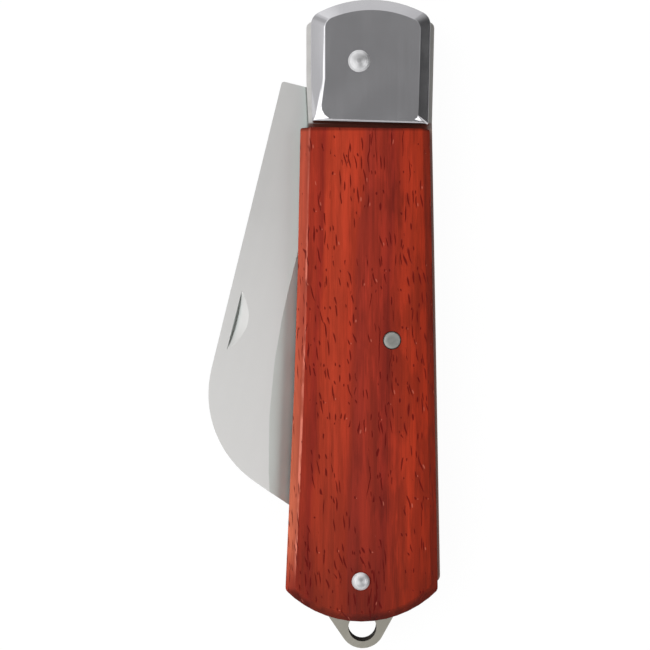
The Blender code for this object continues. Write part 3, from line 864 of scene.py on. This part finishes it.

# %% [markdown]
# The liners and the spring are stamped sheet, tumbled and left plain. They are duller and a little warmer
# than the polished pieces. The liners pick up red dust and painted shade in the gap above the wood, and a
# painted shade towards the back of the handle. The wall of the lanyard eye is painted nearly black and dull:
# painted shade inside the hole.

# %% Liner and spring steel
liner_steel = metal(
    "liner_steel",
    colour=(0.78, 0.775, 0.755, 1.0),
    dark=(0.70, 0.695, 0.675, 1.0),
    rough=0.42,
    slope_rough=0.38,
    line_width=0.15,
    line_length=4.0,
    turn_deg=90,
    line_depth=0.001 * mm,
    # Red dust and painted shade in the gap above the wood.
    dust_and_shade=(dict(colour=(0.11, 0.033, 0.023, 1.0), reach=3 * mm, closed=0.45, opened=0.9, below=38.0),),
    # Painted shade towards the back of the handle, reddened beside the wood.
    back_shade=(12.0, 16.0, (0.66, 0.52, 0.47, 1.0), (0.4, 0.4, 0.39, 1.0)),
)
spring_steel = metal(
    "spring_steel",
    colour=(0.34, 0.326, 0.285, 1.0),
    dark=(0.28, 0.268, 0.23, 1.0),
    rough=0.45,
    slope_rough=0.32,
    line_width=0.2,
    line_length=2.0,
    turn_deg=35,
    line_depth=0.0012 * mm,
    bored=True,
)

# %% [markdown]
# The two domed rivets are plated and bright, and their tops get a painted shade, a little darker than their
# rims. The flush pin was filed level with the wood, so it is flat and dull. The studs hide inside the
# bolsters and share the flush pin's steel.

# %% Rivets and pins
rivet_nickel = metal(
    "rivet_nickel",
    colour=(0.74, 0.74, 0.75, 1.0),
    dark=(0.70, 0.70, 0.71, 1.0),
    rough=0.38,
    slope_rough=0.38,
    line_width=0.3,
    line_length=0.8,
    turn_deg=20,
    line_depth=0.0003 * mm,
    unevenness=0.05,
    # Painted shade on the dome's top.
    top_shade=(7.72, 8.06, 1.0, 0.6),
)
pin_steel = metal(
    "pin_steel",
    colour=(0.265, 0.27, 0.255, 1.0),
    dark=(0.18, 0.185, 0.175, 1.0),
    rough=0.5,
    slope_rough=0.4,
    line_width=0.08,
    line_length=1.2,
    turn_deg=60,
    line_depth=0.0015 * mm,
)
for node in ("pivot_pin", "butt_pin"):
    frame["nodes"][node].data.materials.clear()
    frame["nodes"][node].data.materials.append(rivet_nickel)
for node in ("spring_pin", "front_slot_stud", "front_back_stud", "rear_slot_stud", "rear_back_stud"):
    frame["nodes"][node].data.materials.clear()
    frame["nodes"][node].data.materials.append(pin_steel)

# %% [markdown]
# The flush pin's rim gets a painted highlight, paler than its middle and most of all on the left, the side
# the light comes from. The pin's axis is the middle of its own mesh, and the base colour is lifted with the
# distance from it.

# %% The flush pin's painted rim highlight
rim_from = 0.5
rim_full = 1.4
rim_highlight_left = 1.7
rim_highlight_right = 1.15

tree = pin_steel.node_tree
shader = next(step for step in tree.nodes if step.type == "BSDF_PRINCIPLED")
base = shader.inputs["Base Color"].links[0].from_socket
points = [vert.co for vert in frame["nodes"]["spring_pin"].data.vertices]
pin_axis = sum(points, Vector()) / len(points)
x, y, z = axes(tree, millimetre_place(tree))
off_x = subtract(tree, x, pin_axis.x / mm)
off_y = subtract(tree, y, pin_axis.y / mm)
off_axis = add(tree, multiply(tree, off_x, off_x), multiply(tree, off_y, off_y))
radius = calculate(tree, "SQRT", off_axis)
# Painted highlight: stronger on the left than on the right.
highlight_lift = ease(tree, off_x, -rim_full, rim_full, rim_highlight_left, rim_highlight_right)
shade = blend_values(tree, ease(tree, radius, rim_from, rim_full), 1.0, highlight_lift)
tree.links.new(scale_colour(tree, base, shade), shader.inputs["Base Color"])
print("flush pin's axis in mm:", [round(part / mm, 2) for part in pin_axis.xy])

# %% [markdown]
# The scales are a red tropical hardwood, sawn so that the growth bands run the length of the handle. Each
# band is a stretch of colour across the handle, and the table below gives where it lies and its tone. Oil
# gives the wood a grey sheen over its colour, so the sheen's share is taken off each tone first.

# %% Wood bands
band_rows = (
    (-7.5, (176, 66, 48)),
    (-3.4, (164, 57, 42)),
    (-2.4, (142, 49, 38)),
    (-1.2, (154, 54, 40)),
    (-0.2, (140, 47, 38)),
    (0.8, (158, 57, 40)),
    (3.6, (170, 62, 43)),
    (6.6, (162, 57, 40)),
    (7.5, (144, 52, 41)),
    (9.0, (146, 52, 41)),
    (10.0, (154, 54, 41)),
    (12.2, (144, 50, 39)),
    (13.0, (130, 45, 37)),
    (14.4, (144, 50, 37)),
    (17.4, (158, 54, 36)),
    (18.8, (144, 48, 33)),
    (22.0, (138, 46, 31)),
)
sheen_share = 0.010
least_tone = 0.001


def under_sheen(red, green, blue):
    tones = [max(least_tone, linear(tone) - sheen_share) for tone in (red, green, blue)]
    return (*tones, 1.0)


print("bands:", len(band_rows))

# %% [markdown]
# The bands lean a little, because the handle widens towards the butt, and a slow noise lets them wander.
# Finer streaks of the same colours lie inside each band. The group also puts out the fibres, and a figure:
# the large clouds that go across several bands.

# %% Group: wood bands
slow_grain = (0.16, 0.03, 0.16)
streak_grain = (0.9, 0.045, 0.9)
fibre_grain = (6.0, 0.22, 6.0)
figure_grain = (0.3, 0.075, 0.3)
lean_from = 36.9
band_lean = 0.035
wander_reach = 3.2
streak_reach = 2.2
ragged_reach = 0.35
figure_span = (0.4, 0.56)

wood_bands, given, result = new_group(
    "wood_bands",
    [("Place", VECTOR, None), ("Wander", FLOAT, 1.0)],
    [("Colour", COLOUR), ("Streaks", FLOAT), ("Fibres", FLOAT), ("Figure", FLOAT)],
)
x, y, z = axes(wood_bands, given["Place"])
slow = grain_noise(wood_bands, given["Place"], slow_grain, detail=2, roughness=0.45)
wander = multiply(wood_bands, about_middle(wood_bands, slow, wander_reach), given["Wander"])
lean = multiply(wood_bands, subtract(wood_bands, lean_from, y), band_lean)
across = add(wood_bands, add(wood_bands, x, lean), wander)
streaks = grain_noise(wood_bands, given["Place"], streak_grain, detail=4, roughness=0.62)
across = add(wood_bands, across, about_middle(wood_bands, streaks, streak_reach))

band_low = band_rows[0][0]
band_width = band_rows[-1][0] - band_low
share = divide(wood_bands, subtract(wood_bands, across, band_low), band_width)
ramp = add_node(wood_bands, "ShaderNodeValToRGB", {0: share})
stops = ramp.color_ramp.elements
stops.remove(stops[1])
stops[0].position = 0.0
stops[0].color = under_sheen(*band_rows[0][1])
for spot, tones in band_rows[1:]:
    stops.new((spot - band_low) / band_width).color = under_sheen(*tones)

fibres = grain_noise(wood_bands, given["Place"], fibre_grain, detail=3, roughness=0.6)
figure = grain_noise(wood_bands, given["Place"], figure_grain, detail=3, roughness=0.55)
figure = add(wood_bands, figure, about_middle(wood_bands, fibres, ragged_reach))
wood_bands.links.new(ease(wood_bands, figure, *figure_span), result["Figure"])
wood_bands.links.new(ramp.outputs[0], result["Colour"])
wood_bands.links.new(streaks, result["Streaks"])
wood_bands.links.new(fibres, result["Fibres"])
print(wood_bands.name, len(wood_bands.nodes), "nodes")

# %% [markdown]
# The open pores of this wood are short dark furrows, cut lengthwise, that lean a little and come in clusters.
# A Voronoi texture gives one random point per cell, and its Position output says where that point is. The
# cells are flat, so the place is bent with the depth below the face: that carries the pores round onto the
# chamfers instead of drawing them out.

# %% Group: wood pores, the cells
half_handle = 7.2
bend_grain = (0.25, 0.12, 0.25)
bend_reach = 2.5
outward_span = (2.0, 13.0, -0.9, 0.9)


def depth_below_face(tree, z):
    return subtract(tree, half_handle, from_middle(tree, z))


wood_pores, given, result = new_group(
    "wood_pores",
    [
        ("Place", VECTOR, None),
        ("Cell Width", FLOAT, 0.95),
        ("Cell Length", FLOAT, 3.5),
        ("Half Width", FLOAT, 0.135),
        ("Half Length", FLOAT, 1.5),
        ("Lean", FLOAT, -0.13),
        ("Amount", FLOAT, 0.9),
    ],
    [("Pores", FLOAT), ("Specks", FLOAT)],
)
x, y, z = axes(wood_pores, given["Place"])
bend = grain_noise(wood_pores, given["Place"], bend_grain, detail=2)
bent_x = add(wood_pores, x, multiply(wood_pores, bend, bend_reach))
outwards = ease(wood_pores, x, *outward_span)
bent_x = add(wood_pores, bent_x, multiply(wood_pores, depth_below_face(wood_pores, z), outwards))
cell_x = divide(wood_pores, bent_x, given["Cell Width"])
cell_y = divide(wood_pores, y, given["Cell Length"])
cell_place = add_node(wood_pores, "ShaderNodeCombineXYZ", {0: cell_x, 1: cell_y, 2: 0.0}).outputs[0]
cells = add_node(
    wood_pores,
    "ShaderNodeTexVoronoi",
    {"Vector": cell_place, "Scale": 1.0, "Randomness": 1.0},
    voronoi_dimensions="2D",
    feature="F1",
).outputs
chance = add_node(wood_pores, "ShaderNodeSeparateColor", {0: cells["Color"]}).outputs
point_x, point_y = axes(wood_pores, cells["Position"])[:2]
off_x = multiply(wood_pores, subtract(wood_pores, cell_x, point_x), given["Cell Width"])
off_y = multiply(wood_pores, subtract(wood_pores, cell_y, point_y), given["Cell Length"])
print(wood_pores.name, len(wood_pores.nodes), "nodes so far")

# %% [markdown]
# From its point each cell draws one thin ellipse of its own length and lean, and a slow noise empties some
# cells, which leaves the others in clusters. A pale speck of painted highlight sits beside some of the pores.

# %% Group: wood pores, the furrows
lean_spread = 2.0
length_span = (0.0, 1.0, 0.2, 1.15)
pore_edge = (1.2, 0.25)
cluster_grain = (0.22, 0.09, 0.22)
cluster_span = (0.44, 0.57, 0.06, 1.0)
speck_beside = 2.4
speck_slimness = 3.2
speck_along = 1.3
speck_edge = (1.0, 0.2)
speck_chance = 0.07


def distance_squared(tree, first, second):
    return add(tree, calculate(tree, "POWER", first, 2.0), calculate(tree, "POWER", second, 2.0))


own_lean = multiply(wood_pores, given["Lean"], multiply(wood_pores, chance[2], lean_spread))
off_x = subtract(wood_pores, off_x, multiply(wood_pores, off_y, own_lean))
own_length = multiply(wood_pores, given["Half Length"], ease(wood_pores, chance[1], *length_span))
reach_x = divide(wood_pores, off_x, given["Half Width"])
reach_y = divide(wood_pores, off_y, own_length)
ellipse = ease(wood_pores, distance_squared(wood_pores, reach_x, reach_y), *pore_edge)
cluster = grain_noise(wood_pores, given["Place"], cluster_grain, detail=3)
cluster = ease(wood_pores, cluster, *cluster_span)
kept = calculate(wood_pores, "LESS_THAN", chance[0], multiply(wood_pores, cluster, given["Amount"]))
wood_pores.links.new(multiply(wood_pores, ellipse, kept), result["Pores"])

# A speck of painted highlight beside some pores.
beside = subtract(wood_pores, reach_x, speck_beside)
speck_y = add(wood_pores, multiply(wood_pores, reach_y, speck_slimness), speck_along)
speck = ease(wood_pores, distance_squared(wood_pores, beside, speck_y), *speck_edge)
some = calculate(wood_pores, "LESS_THAN", chance[0], speck_chance)
wood_pores.links.new(multiply(wood_pores, speck, some), result["Specks"])
print(wood_pores.name, len(wood_pores.nodes), "nodes")

# %% [markdown]
# The wood's own material puts these together: bands first, then two sets of pores, one short and leaning and
# one long and straight. The long set is the same group with other values, moved aside so that its points
# don't fall on the first set's.

# %% Wood: bands and pores
long_set_shift = (31.7, 12.3, 5.0)

scale_wood, tree, shader = new_material("scale_wood")
place = millimetre_place(tree)
x, y, z = axes(tree, place)
below_face = depth_below_face(tree, z)
slope = attribute(tree, "sloped")
end_grain = attribute(tree, "end_grain")
bands = use_group(tree, wood_bands, {"Place": place, "Wander": 1.0})
short_pores = use_group(tree, wood_pores, {"Place": place})
long_place = add_node(tree, "ShaderNodeVectorMath", {0: place, 1: long_set_shift}, operation="ADD")
long_pores = use_group(
    tree,
    wood_pores,
    {
        "Place": long_place.outputs[0],
        "Cell Width": 2.1,
        "Cell Length": 12.0,
        "Half Width": 0.085,
        "Half Length": 4.2,
        "Lean": 0.01,
        "Amount": 0.6,
    },
)
pores = calculate(tree, "MAXIMUM", short_pores["Pores"], long_pores["Pores"])
print("wood nodes:", len(tree.nodes))

# %% [markdown]
# Wood is never one tone either. Fibres, streaks and figure each lighten or darken the bands a little. Then
# come the places. The chamfer at the back gets a painted shade. The end chamfers at the head and the butt are
# darker, partly as end grain and partly as painted shade. The face darkens towards the butt on its front part
# and lightens a little on its back part, and the slot side dims towards the butt. The wood's top end gets a
# dark line of painted shade where it meets the gap. Every row of four reads: from, to, the level at the
# first, the level at the second, in millimetres where it is a place. A row of two is a mask from 0 to 1.

# %% Wood: light and dark
fibre_tones = (0.25, 0.75, 0.905, 1.035)
streak_tones = (0.32, 0.68, 0.76, 1.06)
figure_dark = (3.0, 11.0, 0.84, 0.71)
figure_light = 0.95
end_depth = (-0.1, 1.1)
end_grain_shade_tone = 0.57
back_depth = (-0.1, 0.4)
back_shade_tone = 0.9
back_span = (8.0, 14.0)
slot_span = (2.0, -1.0)
back_part = (9.0, 14.0)
front_part_tones = (0.0, -30.0, 0.97, 0.8)
back_part_tones = (0.0, -30.0, 0.9, 1.04)
butt_tones = (-26.0, -52.0, 1.0, 0.72)
slot_tones = (-36.0, -50.0, 1.0, 0.6)
top_shade_line = (wood_top - 0.75, wood_top - 0.2, 1.0, 0.5)

back_slope = multiply(tree, slope, ease(tree, x, *back_span))
slot_slope = multiply(tree, slope, ease(tree, x, *slot_span), subtract(tree, 1.0, end_grain))
# End chambers darken: end grain, and painted shade.
end_dark_share = multiply(tree, end_grain, ease(tree, below_face, *end_depth))
# Back chamfer: painted shade.
back_shade_share = multiply(tree, back_slope, ease(tree, below_face, *back_depth))
front_part_tone = ease(tree, y, *front_part_tones)
back_part_tone = ease(tree, y, *back_part_tones)
face_tone = blend_values(tree, ease(tree, x, *back_part), front_part_tone, back_part_tone)
face_tone = multiply(tree, face_tone, ease(tree, y, *butt_tones))
tone = multiply(
    tree,
    ease(tree, bands["Fibres"], *fibre_tones),
    ease(tree, bands["Streaks"], *streak_tones),
    blend_values(tree, bands["Figure"], ease(tree, x, *figure_dark), figure_light),
    blend_values(tree, end_dark_share, 1.0, end_grain_shade_tone),
    blend_values(tree, slot_slope, face_tone, ease(tree, y, *slot_tones)),
    # A dark line of painted shade where the wood meets the gap.
    ease(tree, y, *top_shade_line),
    blend_values(tree, back_shade_share, 1.0, back_shade_tone),
)
base = scale_colour(tree, bands["Colour"], tone)
print("tone nodes:", len(tree.nodes))

# %% [markdown]
# The slot-side chamfer gets a painted sheen, paler and pinker, and the rim above it a painted highlight,
# paler still, in patches. The pores stay dark in it. Last come the painted highlight specks beside some pores
# and the worn rounded edges. These end before the butt and the top, and are strongest on the slot side, where
# they are partly wear and partly painted highlight.

# %% Wood: painted sheen on the chamfer, rim highlight and pores
pore_colour = under_sheen(84, 24, 15)
speck_highlight_colour = screen_colour(184, 104, 86)
pale_wear_and_highlight = screen_colour(210, 122, 104)
sheen_top_tint = (1.05, 1.9, 2.25, 1.0)
sheen_low_tint = (1.27, 3.3, 3.9, 1.0)
sheen_change = (8.0, -36.0)
sheen_end = (-50.0, -38.0)
rim_grain = (0.5, 0.2, 0.5)
rim_patch_span = (0.41, 0.58, 0.15, 1.0)
rim_depth = (0.36, 0.18)
rim_end = (-47.0, -40.0)
rim_strength = (24.0, 8.0, 0.18, 0.55)
pore_cover = 0.85
speck_highlight_cover = 0.4
wear_patch_size = 5.0
wear_span = (4.0, 14.0, 0.85, 0.2)
wear_butt_end = (-46.0, -38.0, 0.0, 0.7)
wear_top_end = (wood_top - 0.8, wood_top - 2.0)

# The slot-side chamfer gets a painted sheen.
sheen_tint = blend_colours(tree, ease(tree, y, *sheen_change), sheen_top_tint, sheen_low_tint)
painted_sheen = multiply(tree, slot_slope, ease(tree, y, *sheen_end))
base = blend_colours(tree, painted_sheen, base, sheen_tint, "MULTIPLY")
# The rim above it gets a painted highlight, in patches.
rim_highlight = multiply(
    tree,
    ease(tree, below_face, *rim_depth),
    ease(tree, grain_noise(tree, place, rim_grain, detail=4), *rim_patch_span),
    multiply(tree, slot_slope, ease(tree, y, *rim_end)),
    ease(tree, y, *rim_strength),
)
base = blend_colours(tree, rim_highlight, base, pale_wear_and_highlight)
base = blend_colours(tree, multiply(tree, pores, pore_cover), base, pore_colour)
base = blend_colours(tree, multiply(tree, short_pores["Specks"], speck_highlight_cover), base, speck_highlight_colour)
# Worn rounded edges, strongest on the slot side: partly wear, partly painted highlight.
inputs = {
    "Edge": attribute(tree, "soft_edge"),
    "Place": place,
    "Patch Size": wear_patch_size,
    "Amount": ease(tree, x, *wear_span),
}
worn = use_group(tree, edge_wear, inputs)["Wear"]
worn = multiply(tree, worn, ease(tree, y, *wear_butt_end), ease(tree, y, *wear_top_end))
base = blend_colours(tree, worn, base, pale_wear_and_highlight)
tree.links.new(base, shader.inputs["Base Color"])
print("colour nodes:", len(tree.nodes))

# %% [markdown]
# Oil gives the wood a soft sheen. It is duller in the pores and on cut ends, which drink the oil, and the
# pores are cut into the surface by a low bump.

# %% Wood: sheen and relief
wood_sheen = 0.1
fibre_roughness = (0.2, 0.8, 0.37, 0.49)
pore_roughness = 0.3
dull_roughness = 0.8
fibre_height = 0.12
pore_depth = 0.05 * mm

roughness = ease(tree, bands["Fibres"], *fibre_roughness)
roughness = add(tree, roughness, multiply(tree, pores, pore_roughness))
dull = calculate(tree, "MAXIMUM", end_grain, back_slope)
roughness = blend_values(tree, dull, roughness, dull_roughness)
tree.links.new(roughness, shader.inputs["Roughness"])
height = subtract(tree, multiply(tree, bands["Fibres"], fibre_height), pores)
add_relief(tree, shader, pore_depth, height)
shader.inputs["Specular IOR Level"].default_value = wood_sheen
print("scale_wood has", len(tree.nodes), "nodes")

# %% [markdown]
# Each copy now gets its finish, by a material on its own mesh. The pins and studs have theirs already, on the
# CAD nodes themselves, because their shapes need no rounding.

# %% Give each piece its finish
finishes = [
    (bolsters, bolster_steel),
    (scales, scale_wood),
    (liners, liner_steel),
    ([spring], spring_steel),
    ([blade], blade_steel),
]
for pieces, finish in finishes:
    for piece in pieces:
        piece.data.materials.append(finish)
        print(piece.name, "has", finish.name)
